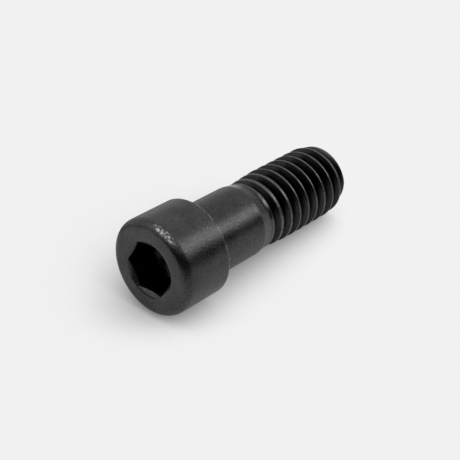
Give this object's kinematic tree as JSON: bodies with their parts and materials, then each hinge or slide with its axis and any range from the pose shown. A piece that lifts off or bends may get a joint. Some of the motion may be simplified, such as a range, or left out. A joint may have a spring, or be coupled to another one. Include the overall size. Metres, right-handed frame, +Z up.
{
  "type": "socket head cap screw",
  "caption": "Black steel cap screw with a rounded cylindrical head, a hexagon socket, a short plain shank, and a coarse thread with a tapered end.",
  "frame": {"origin": "middle of the screw's footprint on the ground, with the screw lying on its side", "axes": "+X runs along the screw from the head to the thread's end, +Z is up; the screw's own axis leans down to the thread's end, because the head is thicker than the thread"},
  "size_m": [0.0272, 0.0102, 0.0106],
  "materials": {
    "black_oxide_steel": "satin black oxide, slightly grained, worn bright on the head's rounded edge"
  },
  "bodies": {
    "root": {"screw": "black_oxide_steel"}
  },
  "joints": []
}
